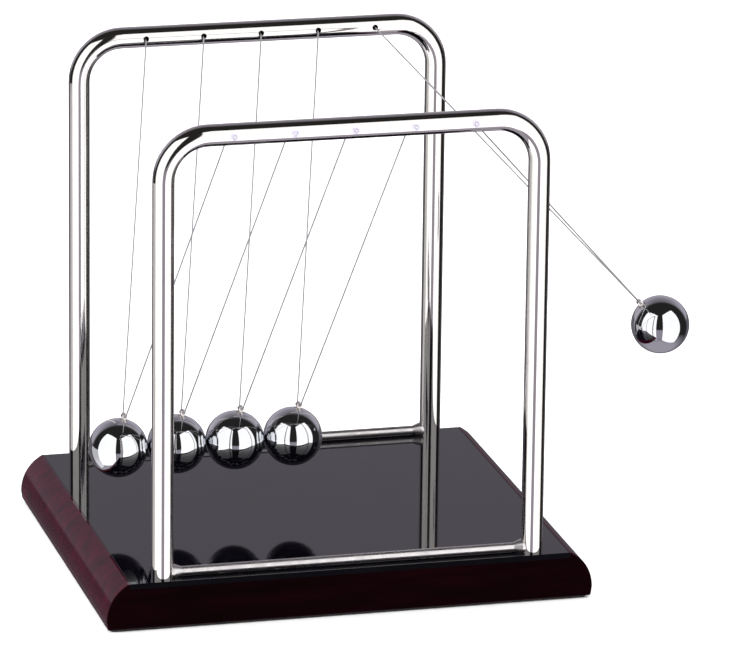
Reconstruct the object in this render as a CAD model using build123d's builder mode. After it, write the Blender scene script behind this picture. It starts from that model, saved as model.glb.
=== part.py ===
from build123d import *
from math import atan2, cos, degrees, pi, radians, sin, sqrt, tan
import os

# Newton's cradle, in millimetres.
# Origin: middle of the underside, on the surface that the cradle stands on.
# +X runs along the row of balls, +Y from the front frame to the rear frame, +Z up.

# ---- base ----
BASE_W = 181.5          # over the rounded ends
BASE_D = 155.0
FELT_T = 1.0
FELT_INSET = 1.2        # felt stops this far inside the flat underside
FELT_CORNER_R = 2.0
BASE_TOP = 18.0         # height of the plate's top face
PLATE_T = 2.0
PLATE_BEVEL = 0.25      # polished edge round the plate's top face
PLATE_LAND = 0.6        # wood left beside the plate, before the end starts to round
END_R = 15.3            # round of each end, from the plate out to the widest point
WIDEST_Z = 4.5
TUCK = 0.5              # how far the end comes in again, from there to the bottom
CORNER_R = 0.8          # bottom corner of each end
EDGE_R = 0.4            # softened edges of the front and rear faces

# ---- tube frames ----
TUBE_D = 8.0
TUBE_WALL = 1.0
LEG_X = 69.0
FRAME_Y = 71.8
BAR_Z = 181.5           # height of the top bar's centre line, and of the swing axes
BEND_R = 16.0           # centre line of the corner bends

# ---- tie bar between the two legs of a frame ----
TIE_D = 3.4
TIE_LIFT = 0.15         # clear of the plate
TIE_Z = BASE_TOP + TIE_LIFT + TIE_D / 2
BRAZE_D = 5.6           # braze fillet where the tie bar meets the leg
BRAZE_L = 3.0
BRAZE_REACH = 1.5       # how far the braze wraps round the leg's side

# ---- leg fixings ----
SCREW_D = 4.0
SCREW_GRIP_D = 4.3      # clearance hole through the block
SCREW_HEAD_D = 7.0
SCREW_HEAD_H = 2.4
SCREW_HEAD_R = 0.8
SCREW_REACH = 7.0       # thread inside the leg
SCREW_TIP = 0.5         # chamfer at the end of the thread
CROSS_W = 1.0           # cross recess in the screw head
CROSS_L = 4.2
CROSS_DEPTH = 1.3
WASHER_D = 9.0
WASHER_T = 0.8
COUNTERBORE_D = 9.6
COUNTERBORE_TOP = 4.6
INSERT_L = 9.0
FIT = 0.02              # radial gap of pressed and threaded fits

# ---- balls and their lines ----
BALL_COUNT = 5
BALL_D = 22.0
BALL_PITCH = 22.1       # a tenth of a millimetre between neighbours
PENDULUM = 139.5        # swing axis to ball centre
ROW_DEG = -10.5         # the first four balls, swung to the left
LIFT_DEG = 42.5         # the last ball, lifted to the right
FLAT_D = 3.2            # flat ground on the ball for its eye
EYE_H = 12.2            # ball centre to the eye's bore
EYE_D = 2.1
EYE_L = 2.4
EYE_BORE = 0.9
NECK_D = 1.5
COLLAR_H = 0.5          # braze collar round the foot of the neck
COLLAR_RIM = 0.2        # height of the collar's outer edge
COLLAR_DRAFT = 0.1      # how far that edge leans in
LINE_D = 0.6
LINE_BEND = 1.5         # bend of the line at the eye and at the bar's hole
STUB_BEND = 6.0         # gentle bend of the line inside the bar
LINE_HOLE_D = 2.2
LINE_SAG = 0.62         # the line rests this far below the hole's middle
MOUTH = 0.3             # corner of the line's route, this far outside the bar
BEAD_D = 1.3            # melted end of the line
BEAD_SINK = 0.05        # how far the bead sits into the plug

# ---- plugs that hold the line ends ----
PLUG_HEAD_D = 2.7
PLUG_HEAD_T = 0.5
PLUG_HEAD_BEVEL = 0.2
PLUG_SHANK_L = 2.4
PLUG_BORE = 0.8
PLUG_RECESS_D = 1.5

OUTER_FACE = FRAME_Y + TUBE_D / 2
INNER_FACE = FRAME_Y - TUBE_D / 2
HOLE_X = [(n - (BALL_COUNT - 1) / 2) * BALL_PITCH for n in range(BALL_COUNT)]
SWING_DEG = [ROW_DEG] * (BALL_COUNT - 1) + [LIFT_DEG]
LEG_SPOTS = [(x, y) for x in (-LEG_X, LEG_X) for y in (-FRAME_Y, FRAME_Y)]
FRAMES = {"front": -1, "rear": 1}

os.makedirs("parts", exist_ok=True)


def save(part, name):
    """Labels a finished piece and writes it as the node of that name."""
    part.label = name
    export_step(part, f"parts/{name}.step")


# Half widths of the base, from its rounded ends.
round_x = BASE_W / 2 - END_R
top_half = round_x + sqrt(END_R**2 - (BASE_TOP - WIDEST_Z) ** 2)
foot_half = BASE_W / 2 - TUCK
plate_half = top_half - PLATE_LAND
plate_floor = BASE_TOP - PLATE_T


# ---- base block: lacquered wood, a moulded length cut square at front and rear ----
with BuildPart() as base_block:
    with BuildSketch(Plane.XZ) as end_profile:
        with BuildLine():
            start = degrees(atan2(BASE_TOP - WIDEST_Z, top_half - round_x))
            swell = CenterArc((round_x, WIDEST_Z), END_R, 0, start)
            Polyline(
                swell @ 1,
                (plate_half, BASE_TOP),
                (plate_half, plate_floor),
                (0, plate_floor),
                (0, FELT_T),
                (foot_half, FELT_T),
                swell @ 0,
            )
        make_face()
        lowest = end_profile.vertices().group_by(Axis.Y)[0]
        fillet(lowest.sort_by(Axis.X)[-1], CORNER_R)
        mirror(about=Plane.YZ)
    extrude(amount=BASE_D / 2, both=True)
    ends = base_block.faces().filter_by(Axis.Y)
    fillet(ends.edges().filter_by(GeomType.CIRCLE), EDGE_R)
    with BuildSketch(Plane.XY.offset(FELT_T)):
        with Locations(*LEG_SPOTS):
            Circle(COUNTERBORE_D / 2)
    extrude(amount=COUNTERBORE_TOP - FELT_T, mode=Mode.SUBTRACT)
    with BuildSketch(Plane.XY.offset(FELT_T)):
        with Locations(*LEG_SPOTS):
            Circle(SCREW_GRIP_D / 2)
    extrude(amount=BASE_TOP, mode=Mode.SUBTRACT)
save(base_block.part, "base_block")


# ---- top plate: polished black sheet let in between the two rounded ends ----
with BuildPart() as top_plate:
    with BuildSketch(Plane.XY.offset(plate_floor)):
        Rectangle(2 * (plate_half - FIT), BASE_D)
        with Locations(*LEG_SPOTS):
            Circle(SCREW_GRIP_D / 2, mode=Mode.SUBTRACT)
    extrude(amount=PLATE_T)
    rim = top_plate.faces().sort_by(Axis.Z)[-1].edges().filter_by(GeomType.LINE)
    chamfer(rim, PLATE_BEVEL)
save(top_plate.part, "top_plate")


# ---- felt under the block ----
with BuildPart() as underside_felt:
    with BuildSketch(Plane.XY):
        felt_w = 2 * (foot_half - FELT_INSET)
        RectangleRounded(felt_w, BASE_D - 2 * FELT_INSET, FELT_CORNER_R)
    extrude(amount=FELT_T)
save(underside_felt.part, "underside_felt")


# ---- frames: bent tube that stands on the plate, cross-drilled for the lines ----
for name, side in FRAMES.items():
    with BuildPart() as frame:
        with BuildLine(Plane.XZ.offset(-side * FRAME_Y)):
            FilletPolyline(
                (-LEG_X, BASE_TOP),
                (-LEG_X, BAR_Z),
                (LEG_X, BAR_Z),
                (LEG_X, BASE_TOP),
                radius=BEND_R,
            )
        with BuildSketch(Plane((-LEG_X, side * FRAME_Y, BASE_TOP))):
            Circle(TUBE_D / 2)
            Circle(TUBE_D / 2 - TUBE_WALL, mode=Mode.SUBTRACT)
        sweep()
        with BuildSketch(Plane.XZ.offset(-side * FRAME_Y)):
            with Locations(*[(x, BAR_Z) for x in HOLE_X]):
                Circle(LINE_HOLE_D / 2)
        extrude(amount=TUBE_D, both=True, mode=Mode.SUBTRACT)
    save(frame.part, f"{name}_frame")


# ---- tie bars: one between the legs of each frame, butted and brazed at both ends ----
for name, side in FRAMES.items():
    with BuildPart() as tie_bar:
        leg_face = LEG_X - TUBE_D / 2
        with BuildSketch(Plane.XZ.offset(-side * FRAME_Y)):
            with BuildLine():
                Polyline(
                    (0, TIE_Z),
                    (0, TIE_Z + TIE_D / 2),
                    (leg_face - BRAZE_L, TIE_Z + TIE_D / 2),
                    (leg_face, TIE_Z + BRAZE_D / 2),
                    (leg_face + BRAZE_REACH, TIE_Z + BRAZE_D / 2),
                    (leg_face + BRAZE_REACH, TIE_Z),
                    close=True,
                )
            make_face()
        revolve(axis=Axis((0, side * FRAME_Y, TIE_Z), (1, 0, 0)))
        with BuildSketch(Plane((LEG_X, side * FRAME_Y, 0))):
            Circle(TUBE_D / 2 + FIT)
        extrude(amount=BAR_Z, mode=Mode.SUBTRACT)
        with BuildSketch(Plane.XY.offset(BASE_TOP + TIE_LIFT / 2)):
            with Locations((LEG_X, side * FRAME_Y)):
                Rectangle(BEND_R, BEND_R)
        extrude(amount=-BRAZE_D, mode=Mode.SUBTRACT)
        mirror(about=Plane.YZ)
    save(tie_bar.part, f"{name}_tie_bar")


# ---- leg fixings: a threaded insert in each leg, drawn down by a screw and washer ----
with BuildPart() as leg_inserts:
    with BuildSketch(Plane.XY.offset(BASE_TOP)):
        with Locations(*LEG_SPOTS):
            Circle(TUBE_D / 2 - TUBE_WALL - FIT)
        with Locations(*LEG_SPOTS):
            Circle(SCREW_D / 2 + FIT, mode=Mode.SUBTRACT)
    extrude(amount=INSERT_L)
save(leg_inserts.part, "leg_inserts")

washer_floor = COUNTERBORE_TOP - WASHER_T
with BuildPart() as leg_washers:
    with BuildSketch(Plane.XY.offset(washer_floor)):
        with Locations(*LEG_SPOTS):
            Circle(WASHER_D / 2)
        with Locations(*LEG_SPOTS):
            Circle(SCREW_GRIP_D / 2, mode=Mode.SUBTRACT)
    extrude(amount=WASHER_T)
save(leg_washers.part, "leg_washers")

head_floor = washer_floor - SCREW_HEAD_H
with BuildPart() as leg_screws:
    with BuildSketch(Plane.XY.offset(head_floor)):
        with Locations(*LEG_SPOTS):
            Circle(SCREW_HEAD_D / 2)
    extrude(amount=SCREW_HEAD_H)
    fillet(leg_screws.edges().group_by(Axis.Z)[0], SCREW_HEAD_R)
    with BuildSketch(Plane.XY.offset(washer_floor)):
        with Locations(*LEG_SPOTS):
            Circle(SCREW_D / 2)
    extrude(amount=BASE_TOP + SCREW_REACH - washer_floor)
    chamfer(leg_screws.edges().group_by(Axis.Z)[-1], SCREW_TIP)
    with BuildSketch(Plane.XY.offset(head_floor)):
        with Locations(*LEG_SPOTS):
            Rectangle(CROSS_L, CROSS_W)
            Rectangle(CROSS_W, CROSS_L)
    extrude(amount=CROSS_DEPTH, mode=Mode.SUBTRACT)
save(leg_screws.part, "leg_screws")


# ---- plugs: pressed into the outer wall of each bar, bored for the line's end ----
for name, side in FRAMES.items():
    with BuildPart() as plugs:
        for x in HOLE_X:
            with BuildSketch(Plane.XY.offset(BAR_Z)):
                with BuildLine():
                    head = OUTER_FACE + FIT
                    Polyline(
                        (x + PLUG_BORE / 2, side * (head - PLUG_SHANK_L)),
                        (x + LINE_HOLE_D / 2 - FIT, side * (head - PLUG_SHANK_L)),
                        (x + LINE_HOLE_D / 2 - FIT, side * head),
                        (x + PLUG_HEAD_D / 2, side * head),
                        (x + PLUG_HEAD_D / 2, side * (head + PLUG_HEAD_T / 2)),
                        (x + PLUG_HEAD_D / 2 - PLUG_HEAD_BEVEL, side * (head + PLUG_HEAD_T)),
                        (x + PLUG_RECESS_D / 2, side * (head + PLUG_HEAD_T)),
                        (x + PLUG_RECESS_D / 2, side * head),
                        (x + PLUG_BORE / 2, side * head),
                        close=True,
                    )
                make_face()
            revolve(axis=Axis((x, 0, BAR_Z), (0, 1, 0)))
    save(plugs.part, f"{name}_line_plugs")


# ---- balls, each with its eye and its line, built hanging and swung about its axis ----
def hanging(x, swing_deg):
    """Plane on a swing axis. Its -Z points at the ball, its Y runs along the axis."""
    a = radians(swing_deg)
    return Plane((x, 0, BAR_Z), x_dir=(cos(a), 0, sin(a)), z_dir=(-sin(a), 0, cos(a)))


flat_h = sqrt((BALL_D / 2) ** 2 - (FLAT_D / 2) ** 2)
eye_drop = PENDULUM - EYE_H


def make_ball(number, hang):
    """Polished steel ball with a small flat ground where its eye is brazed on."""
    centre = hang.offset(-PENDULUM)
    section = Plane(centre.origin, x_dir=centre.x_dir, z_dir=-centre.y_dir)
    with BuildPart() as ball:
        with BuildSketch(section):
            with BuildLine():
                top = degrees(atan2(flat_h, FLAT_D / 2))
                arc = CenterArc((0, 0), BALL_D / 2, -90, 90 + top)
                Polyline(arc @ 1, (0, flat_h), arc @ 0)
            make_face()
        revolve(axis=Axis(centre.origin, centre.z_dir))
    save(ball.part, f"ball_{number}")


def make_eye(number, hang):
    """Cross tube on a short neck that carries the ball on its line."""
    centre = hang.offset(-PENDULUM)
    section = Plane(centre.origin, x_dir=centre.x_dir, z_dir=-centre.y_dir)
    along = Plane(hang.offset(-eye_drop).origin, x_dir=centre.x_dir, z_dir=centre.y_dir)
    with BuildPart() as eye:
        with BuildSketch(section):
            with BuildLine():
                Polyline(
                    (0, flat_h),
                    (FLAT_D / 2, flat_h),
                    (FLAT_D / 2 - COLLAR_DRAFT, flat_h + COLLAR_RIM),
                    (NECK_D / 2, flat_h + COLLAR_H),
                    (NECK_D / 2, EYE_H),
                    (0, EYE_H),
                    close=True,
                )
            make_face()
        revolve(axis=Axis(centre.origin, centre.z_dir))
        with BuildSketch(along):
            Circle(EYE_D / 2)
        extrude(amount=EYE_L / 2, both=True)
        with BuildSketch(along):
            Circle(EYE_BORE / 2)
        extrude(amount=EYE_L, both=True, mode=Mode.SUBTRACT)
    save(eye.part, f"ball_eye_{number}")


# Corners of the line's route: out of the plug, over the lower edge of the bar's hole,
# down to the eye and through it. The last bend ends where the line enters the eye, so
# its corner and the line's fall depend on each other and are settled in a few rounds.
FALL_GUESS = 63.0
FALL_ROUNDS = 20
top_y = INNER_FACE - MOUTH
plug_y = OUTER_FACE + FIT - PLUG_SHANK_L
end_y = OUTER_FACE + FIT + BEAD_D / 2 - BEAD_SINK
slope = degrees(atan2(LINE_SAG, plug_y - top_y))
fall = FALL_GUESS
for _ in range(FALL_ROUNDS):
    eye_y = EYE_L / 2 + LINE_BEND * tan(radians(fall) / 2)
    fall = degrees(atan2(eye_drop - LINE_SAG, top_y - eye_y))


def make_line(number, hang):
    """One nylon line, from its bead in the front bar, through the eye, to the rear bar."""
    route_plane = Plane(hang.origin, x_dir=hang.y_dir, z_dir=hang.x_dir)
    with BuildPart() as line:
        with BuildLine(route_plane) as route:
            FilletPolyline(
                (-end_y, 0),
                (-plug_y, 0),
                (-top_y, -LINE_SAG),
                (-eye_y, -eye_drop),
                (eye_y, -eye_drop),
                (top_y, -LINE_SAG),
                (plug_y, 0),
                (end_y, 0),
                radius=[STUB_BEND, LINE_BEND, LINE_BEND, LINE_BEND, LINE_BEND, STUB_BEND],
            )
        path = route.wire()
        with BuildSketch(Plane(path @ 0, z_dir=path % 0)):
            Circle(LINE_D / 2)
        sweep(path=path)
        swept = line.part.volume
        with Locations(path @ 0, path @ 1):
            Sphere(BEAD_D / 2)
    ratio = swept / (path.length * pi * (LINE_D / 2) ** 2)
    print(
        f"line_{number}: length {path.length:.1f}, radii {STUB_BEND} and {LINE_BEND}, "
        f"turns {slope:.1f}, {fall - slope:.1f} and {fall:.1f} deg, "
        f"volume / (section x length) {ratio:.4f}"
    )
    save(line.part, f"line_{number}")


for number, (x, swing_deg) in enumerate(zip(HOLE_X, SWING_DEG), start=1):
    hang = hanging(x, swing_deg)
    make_ball(number, hang)
    make_eye(number, hang)
    make_line(number, hang)
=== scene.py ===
from math import cos, pi, radians, sin, tan

import bmesh
import bpy
from mathutils import Matrix, Vector


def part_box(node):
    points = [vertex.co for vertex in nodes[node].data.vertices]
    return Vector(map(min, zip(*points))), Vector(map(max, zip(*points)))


# Looks, light and camera for the Newton's cradle, in metres in the frame of the CAD.
# Every piece of it is a CAD node that gets a procedural material here.
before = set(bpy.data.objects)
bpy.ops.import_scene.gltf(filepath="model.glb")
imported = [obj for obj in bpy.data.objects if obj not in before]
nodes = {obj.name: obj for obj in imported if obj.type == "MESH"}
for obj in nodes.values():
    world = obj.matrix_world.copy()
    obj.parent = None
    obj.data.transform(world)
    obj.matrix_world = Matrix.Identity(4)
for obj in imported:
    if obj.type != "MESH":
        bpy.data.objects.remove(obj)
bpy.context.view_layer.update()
BALLS = range(1, 6)


# ---------------------------------------------------------------- camera
CAM_AZ = radians(-14.72)  # negative: the camera stands to the left of the front
CAM_EL = radians(16.80)
CAM_ROLL = radians(0.73)
CAM_DIST = 2.3362
CAM_TARGET = Vector((0.0274, 0.0, 0.0829))
CAM_NEAR = 0.05
CAM_FAR = 60
SENSOR = 36.0
FOCAL_PX = 6297.0  # focal length, in pixels of an image that is IMAGE_W wide
IMAGE_W = 748

forward = Vector((-sin(CAM_AZ) * cos(CAM_EL), cos(CAM_AZ) * cos(CAM_EL), -sin(CAM_EL)))
flat_right = Vector((cos(CAM_AZ), sin(CAM_AZ), 0))
level_up = flat_right.cross(forward)
right = flat_right * cos(CAM_ROLL) + level_up * sin(CAM_ROLL)
up = level_up * cos(CAM_ROLL) - flat_right * sin(CAM_ROLL)
turn = Matrix((right, up, -forward)).transposed().to_4x4()
camera_data = bpy.data.cameras.new("camera")
camera_data.sensor_width = SENSOR
camera_data.lens = FOCAL_PX * SENSOR / IMAGE_W
camera_data.clip_start = CAM_NEAR
camera_data.clip_end = CAM_FAR
camera = bpy.data.objects.new("camera", camera_data)
camera.matrix_world = Matrix.Translation(CAM_TARGET - forward * CAM_DIST) @ turn
bpy.context.scene.collection.objects.link(camera)
bpy.context.scene.camera = camera
bpy.context.scene.view_settings.view_transform = "Standard"


# ---------------------------------------------------------------- node helpers
def material(name):
    """A material with an empty tree but for its shader and output."""
    mat = bpy.data.materials.new(name)
    mat.use_nodes = True
    tree = mat.node_tree
    return mat, tree, tree.nodes["Principled BSDF"]


def node(tree, kind, **inputs):
    n = tree.nodes.new(kind)
    for key, value in inputs.items():
        n.inputs[key].default_value = value
    return n


def coords(tree, scale=(1, 1, 1)):
    """Object coordinates in metres, stretched by scale."""
    source = tree.nodes.new("ShaderNodeTexCoord")
    mapping = tree.nodes.new("ShaderNodeMapping")
    mapping.inputs["Scale"].default_value = scale
    tree.links.new(source.outputs["Object"], mapping.inputs["Vector"])
    return mapping.outputs["Vector"]


def noise(tree, vector, scale, detail=3.0, rough=0.5):
    n = node(tree, "ShaderNodeTexNoise", Scale=scale, Detail=detail, Roughness=rough)
    tree.links.new(vector, n.inputs["Vector"])
    return n.outputs["Fac"]


def ramp(tree, fac, stops):
    """A colour ramp through (position, colour) stops."""
    r = tree.nodes.new("ShaderNodeValToRGB")
    elements = r.color_ramp.elements
    while len(elements) < len(stops):
        elements.new(0.5)
    for element, (position, color) in zip(elements, stops):
        element.position = position
        element.color = (*color, 1)
    tree.links.new(fac, r.inputs["Fac"])
    return r.outputs["Color"]


def spread(tree, fac, low, high, start=0.0, end=1.0):
    """A number that runs from low to high as fac runs from start to end."""
    m = node(tree, "ShaderNodeMapRange")
    m.inputs["From Min"].default_value = start
    m.inputs["From Max"].default_value = end
    m.inputs["To Min"].default_value = low
    m.inputs["To Max"].default_value = high
    tree.links.new(fac, m.inputs["Value"])
    return m.outputs["Result"]


def combine(tree, a, b, operation="MULTIPLY"):
    """One number from two."""
    m = node(tree, "ShaderNodeMath")
    m.operation = operation
    tree.links.new(a, m.inputs[0])
    tree.links.new(b, m.inputs[1])
    return m.outputs["Value"]


def dimmed(tree, color, factor):
    """A colour times a number."""
    m = node(tree, "ShaderNodeVectorMath")
    m.operation = "SCALE"
    tree.links.new(color, m.inputs[0])
    tree.links.new(factor, m.inputs["Scale"])
    return m.outputs["Vector"]


def along_y(tree, vector):
    """The square of a vector's Y, so that front and rear count alike."""
    parts = tree.nodes.new("ShaderNodeSeparateXYZ")
    tree.links.new(vector, parts.inputs["Vector"])
    return combine(tree, parts.outputs["Y"], parts.outputs["Y"])


def bump(tree, shader, height, strength, distance):
    b = node(tree, "ShaderNodeBump", Strength=strength, Distance=distance)
    tree.links.new(height, b.inputs["Height"])
    tree.links.new(b.outputs["Normal"], shader.inputs["Normal"])


def wear(*names, mat):
    """Gives CAD nodes a material in every slot."""
    for name in names:
        data = nodes[name].data
        data.materials.clear()
        data.materials.append(mat)


# ---------------------------------------------------------------- materials
HAZE_TONE = 0.93  # a hazed patch of plating against a clean one
SCRATCH_SCALE = 6  # scratches are this much finer than the haze


def chrome(name, base, rough_low, rough_high, haze_scale, wave):
    """Bright metal: a faint polishing haze, and fine scratches as deep as wave."""
    mat, tree, shader = material(name)
    shader.inputs["Metallic"].default_value = 1.0
    where = coords(tree)
    haze = noise(tree, where, haze_scale, detail=4.0)
    rough = spread(tree, haze, rough_low, rough_high, start=0.35, end=0.75)
    tree.links.new(rough, shader.inputs["Roughness"])
    dim = tuple(c * HAZE_TONE for c in base)
    tone = ramp(tree, haze, [(0.3, base), (0.8, dim)])
    tree.links.new(tone, shader.inputs["Base Color"])
    fine = noise(tree, where, haze_scale * SCRATCH_SCALE, detail=2.0)
    bump(tree, shader, fine, strength=0.05, distance=wave)
    return mat


def sawn_face(tree):
    """1 on faces that look along Y, where the stock was sawn off, and 0 elsewhere. The wood
    uses it for painted shade as well as for dullness.
    """
    normal = tree.nodes.new("ShaderNodeTexCoord").outputs["Normal"]
    return spread(tree, along_y(tree, normal), low=0.0, high=1.0, start=0.5, end=0.9)


GROUND_ROUGHNESS = 0.6
GLOSS_ROUGHNESS = 0.04


def gloss_coat(tree, shader, ior, weight):
    """A clear gloss of varying weight over a dull ground."""
    shader.inputs["Specular IOR Level"].default_value = 0.0
    shader.inputs["Roughness"].default_value = GROUND_ROUGHNESS
    shader.inputs["Coat IOR"].default_value = ior
    shader.inputs["Coat Roughness"].default_value = GLOSS_ROUGHNESS
    tree.links.new(weight, shader.inputs["Coat Weight"])


PLATE_IOR = 1.45
PLATE_SAWN_GLOSS = 0.05  # gloss of a sawn edge against the polished top
PLATE_TONES = [(0.4, (0.0010, 0.0008, 0.0016)), (0.75, (0.0022, 0.0019, 0.0034))]


def black_plate():
    """Black sheet, polished on top, with its front and rear edges left dull."""
    mat, tree, shader = material("black_plate")
    where = coords(tree)
    speck = noise(tree, where, 60, detail=6.0, rough=0.65)
    tree.links.new(ramp(tree, speck, PLATE_TONES), shader.inputs["Base Color"])
    polish = spread(tree, speck, 1.0, 0.94, start=0.4, end=0.8)
    weight = combine(tree, polish, spread(tree, sawn_face(tree), 1.0, PLATE_SAWN_GLOSS))
    gloss_coat(tree, shader, PLATE_IOR, weight)
    wave = noise(tree, where, 220, detail=2.0)
    bump(tree, shader, wave, strength=0.03, distance=0.00001)
    return mat


WOOD_IOR = 1.26
WOOD_SAWN_GLOSS = 0.06  # gloss of a sawn face against a moulded end
WOOD_SAWN_PAINTED_SHADE = 0.17  # painted shade: a sawn face is drawn this much darker than a moulded end
FIGURE_STRETCH = (9, 70, 70)  # the grain runs along X
PORE_STRETCH = (70, 900, 900)
STAIN_TONES = [
    (0.28, (0.0076, 0.0002, 0.0016)),
    (0.48, (0.0170, 0.0004, 0.0036)),
    (0.70, (0.0285, 0.0009, 0.0060)),
]


def lacquered_wood():
    """Dark red stain over a close grain. The moulded ends are lacquered to a gloss, and
    the sawn front and rear faces are dull, with their colour darkened as painted shade."""
    mat, tree, shader = material("lacquered_wood")
    figure = noise(tree, coords(tree, FIGURE_STRETCH), 3.0, detail=5.0, rough=0.6)
    pores = noise(tree, coords(tree, PORE_STRETCH), 1.0, detail=2.0)
    stain = combine(tree, figure, spread(tree, pores, 0.93, 1.05, start=0.3, end=0.7))
    sawn_and_shade_mask = sawn_face(tree)
    # painted shade: the stain is drawn darker on the sawn front and rear faces
    sawn_painted_shade = spread(tree, sawn_and_shade_mask, 1.0, WOOD_SAWN_PAINTED_SHADE)
    color = dimmed(tree, ramp(tree, stain, STAIN_TONES), sawn_painted_shade)
    tree.links.new(color, shader.inputs["Base Color"])
    polish = spread(tree, pores, 1.0, 0.96, start=0.3, end=0.7)
    weight = combine(tree, polish, spread(tree, sawn_and_shade_mask, 1.0, WOOD_SAWN_GLOSS))
    gloss_coat(tree, shader, WOOD_IOR, weight)
    bump(tree, shader, pores, strength=0.02, distance=0.00001)
    return mat


FELT_TONES = [(0.3, (0.010, 0.010, 0.011)), (0.7, (0.035, 0.034, 0.036))]


def felt():
    mat, tree, shader = material("felt")
    fibre = noise(tree, coords(tree), 1800, detail=6.0, rough=0.7)
    tree.links.new(ramp(tree, fibre, FELT_TONES), shader.inputs["Base Color"])
    shader.inputs["Roughness"].default_value = 0.95
    shader.inputs["Sheen Weight"].default_value = 0.4
    bump(tree, shader, fibre, strength=0.6, distance=0.0003)
    return mat


LINE_TONES = [(0.35, (0.180, 0.176, 0.187)), (0.7, (0.230, 0.225, 0.238))]
MELTED_TONE = 2.5  # a melted end against the rest of the line
MELTED_FROM = 0.985  # where it starts, as a part of the squared depth of the frames


def nylon_line():
    """Grey nylon, slightly uneven, and paler where its ends are melted."""
    mat, tree, shader = material("nylon_line")
    where = coords(tree)
    twist = noise(tree, where, 2500, detail=2.0)
    cloud = noise(tree, where, 300, detail=2.0)
    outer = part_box("front_frame")[0][1] ** 2
    melted = spread(
        tree, along_y(tree, where), 1.0, MELTED_TONE, start=outer * MELTED_FROM, end=outer
    )
    color = dimmed(tree, ramp(tree, cloud, LINE_TONES), melted)
    tree.links.new(color, shader.inputs["Base Color"])
    tree.links.new(spread(tree, twist, 0.45, 0.65), shader.inputs["Roughness"])
    bump(tree, shader, twist, strength=0.05, distance=0.00001)
    return mat


PLUG_TONES = [(0.3, (0.50, 0.46, 0.60)), (0.7, (0.62, 0.58, 0.72))]
PLUG_SCATTER = 0.0005


def nylon_plug():
    mat, tree, shader = material("nylon_plug")
    cloud = noise(tree, coords(tree), 900)
    tree.links.new(ramp(tree, cloud, PLUG_TONES), shader.inputs["Base Color"])
    tree.links.new(spread(tree, cloud, 0.3, 0.5), shader.inputs["Roughness"])
    shader.inputs["Subsurface Weight"].default_value = 0.1
    shader.inputs["Subsurface Radius"].default_value = (PLUG_SCATTER,) * 3
    return mat


BRASS_TONES = [(0.3, (0.58, 0.42, 0.18)), (0.7, (0.74, 0.57, 0.28))]
LATHE_STRETCH = (1, 1, 40)  # tool marks go round the insert's upright axis


def turned_brass():
    mat, tree, shader = material("turned_brass")
    shader.inputs["Metallic"].default_value = 1.0
    ring = noise(tree, coords(tree, LATHE_STRETCH), 120)
    tree.links.new(ramp(tree, ring, BRASS_TONES), shader.inputs["Base Color"])
    shader.inputs["Roughness"].default_value = 0.3
    return mat


tube_chrome = chrome("tube_chrome", (0.86, 0.83, 0.81), 0.04, 0.10, 90, 0.00002)
tie_chrome = chrome("tie_chrome", (0.80, 0.77, 0.77), 0.26, 0.42, 260, 0.00006)
ball_steel = chrome("ball_steel", (0.80, 0.81, 0.84), 0.015, 0.05, 160, 0.00001)
eye_steel = chrome("eye_steel", (0.66, 0.62, 0.60), 0.18, 0.35, 900, 0.00004)
screw_steel = chrome("screw_steel", (0.62, 0.62, 0.60), 0.2, 0.38, 700, 0.00003)

wear("front_frame", "rear_frame", mat=tube_chrome)
wear("front_tie_bar", "rear_tie_bar", mat=tie_chrome)
wear("top_plate", mat=black_plate())
wear("base_block", mat=lacquered_wood())
wear("underside_felt", mat=felt())
wear("leg_screws", "leg_washers", mat=screw_steel)
wear("leg_inserts", mat=turned_brass())
wear("front_line_plugs", "rear_line_plugs", mat=nylon_plug())
wear(*(f"ball_{n}" for n in BALLS), mat=ball_steel)
wear(*(f"ball_eye_{n}" for n in BALLS), mat=eye_steel)
wear(*(f"line_{n}" for n in BALLS), mat=nylon_line())


# ---------------------------------------------------------------- floor
FLOOR_R = 12.0
FLOOR_SIDES = 96
PAPER_TONES = [(0.3, (0.86, 0.86, 0.86)), (0.7, (0.88, 0.88, 0.88))]

# Reflections don't see the floor: the lights and the background stand for it there.
bm = bmesh.new()
bmesh.ops.create_circle(bm, cap_ends=True, segments=FLOOR_SIDES, radius=FLOOR_R)
floor_mesh = bpy.data.meshes.new("floor")
bm.to_mesh(floor_mesh)
bm.free()
floor = bpy.data.objects.new("floor", floor_mesh)
bpy.context.scene.collection.objects.link(floor)
floor.visible_glossy = False
floor_mat, floor_tree, floor_shader = material("floor_paper")
tone = noise(floor_tree, coords(floor_tree), 2.0, detail=2.0)
floor_tree.links.new(ramp(floor_tree, tone, PAPER_TONES), floor_shader.inputs["Base Color"])
floor_shader.inputs["Roughness"].default_value = 0.9
floor_mesh.materials.append(floor_mat)


# ---------------------------------------------------------------- lights
# Azimuths in the studio are in degrees to the right of the camera's side of the object.
MIDDLE = Vector((0, 0, 0.08))
cam_dir = Vector((sin(CAM_AZ), -cos(CAM_AZ), 0))
side_dir = flat_right


def level_axis(azimuth):
    """The level direction from the object at that azimuth."""
    a = radians(azimuth)
    return cam_dir * cos(a) + side_dir * sin(a)


def area_light(name, width, height, radiance, place, outward):
    """A rectangular light whose back looks outward. The camera doesn't see it."""
    data = bpy.data.lights.new(name, "AREA")
    data.shape = "RECTANGLE"
    data.size = width
    data.size_y = height
    data.energy = radiance * pi * data.size * data.size_y
    obj = bpy.data.objects.new(name, data)
    bpy.context.scene.collection.objects.link(obj)
    obj.location = place
    obj.rotation_euler = outward.to_track_quat("Z", "Y").to_euler()
    obj.visible_camera = False
    return obj


WINDOW_DIST = 0.8
WINDOW_LOW = -53  # seen from the middle of the object, in degrees
WINDOW_HIGH = 56
WINDOW_RADIANCE = 1.25
LOW_WALL_HIGH = -7
LOW_WALL_RADIANCE = 0.55


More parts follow.
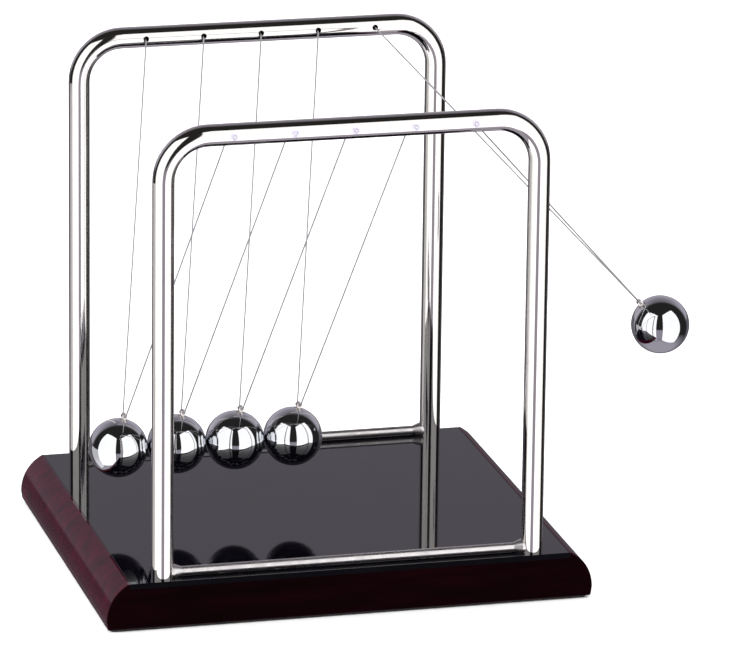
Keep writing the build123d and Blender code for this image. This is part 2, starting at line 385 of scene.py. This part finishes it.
def window(name, az_from, az_to, el_to, radiance):
    """An upright light that fills those angles, seen from the middle of the object."""
    low = WINDOW_DIST * tan(radians(WINDOW_LOW))
    high = WINDOW_DIST * tan(radians(el_to))
    width = 2 * WINDOW_DIST * tan(radians((az_to - az_from) / 2))
    outward = level_axis((az_from + az_to) / 2)
    place = MIDDLE + outward * WINDOW_DIST + Vector((0, 0, (high + low) / 2))
    area_light(name, width, high - low, radiance, place, outward)


def soft_panel(name, place, width, height, radiance):
    """A light that brightens paper, wood and nylon, but shows in no reflection."""
    outward = Vector(place) - MIDDLE
    area_light(name, width, height, radiance, place, outward).visible_glossy = False


window("window_left", -80, -11, WINDOW_HIGH, WINDOW_RADIANCE)
window("window_right", 17, 84, WINDOW_HIGH, WINDOW_RADIANCE)
window("low_wall_left", -114, -80, LOW_WALL_HIGH, LOW_WALL_RADIANCE)
soft_panel("sky_panel", (0, 0.3, 3.0), 10, 10, 2.0)
soft_panel("left_fill", (-1.6, 0.75, 0.5), 1.2, 0.9, 12.0)


# ---------------------------------------------------------------- background
# The background shows in reflections only. A pale wall stands behind the object and
# grows dimmer with height. The floor is dark at its foot, and light straight below the
# object and in front of it. The rest of the studio is dark.
DARK_RADIANCE = 0.020
PALE_RADIANCE = 0.445
STUDIO_TONES = [(0.0, (1.0, 0.96, 0.93)), (0.3, (0.93, 0.87, 1.0))]
WALL_AZ = -176
WALL_EL = radians(6)
WALL_EDGE = radians(66)  # from the middle of the wall to where it ends
WALL_FULL = radians(54)  # and to where it starts to fade

world = bpy.data.worlds.new("studio")
bpy.context.scene.world = world
world.use_nodes = True
tree = world.node_tree
background = tree.nodes["Background"]
direction = tree.nodes.new("ShaderNodeTexCoord").outputs["Generated"]


def along(axis):
    """How far the direction points along an axis, from -1 to 1."""
    dot = tree.nodes.new("ShaderNodeVectorMath")
    dot.operation = "DOT_PRODUCT"
    dot.inputs[1].default_value = axis
    tree.links.new(direction, dot.inputs[0])
    return dot.outputs["Value"]


height = along(Vector((0, 0, 1)))
wall_axis = level_axis(WALL_AZ) * cos(WALL_EL) + Vector((0, 0, sin(WALL_EL)))
wall = spread(tree, along(wall_axis), 0.0, 1.0, start=cos(WALL_EDGE), end=cos(WALL_FULL))
wall = combine(tree, wall, spread(tree, height, 1.0, 0.35, start=0.30, end=0.88))
wall = combine(tree, wall, spread(tree, height, 0.3, 1.0, start=-0.06, end=0.0))
floor_below = spread(tree, height, 0.9, 0.0, start=-0.85, end=-0.45)
floor_in_front = combine(
    tree,
    spread(tree, along(cam_dir), 0.0, 0.75, start=0.55, end=0.75),
    spread(tree, height, 1.0, 0.0, start=-0.16, end=-0.08),
)
pale = combine(tree, wall, floor_below, "MAXIMUM")
pale = combine(tree, pale, floor_in_front, "MAXIMUM")
radiance = spread(tree, pale, DARK_RADIANCE, PALE_RADIANCE)
tree.links.new(radiance, background.inputs["Strength"])
tree.links.new(ramp(tree, pale, STUDIO_TONES), background.inputs["Color"])
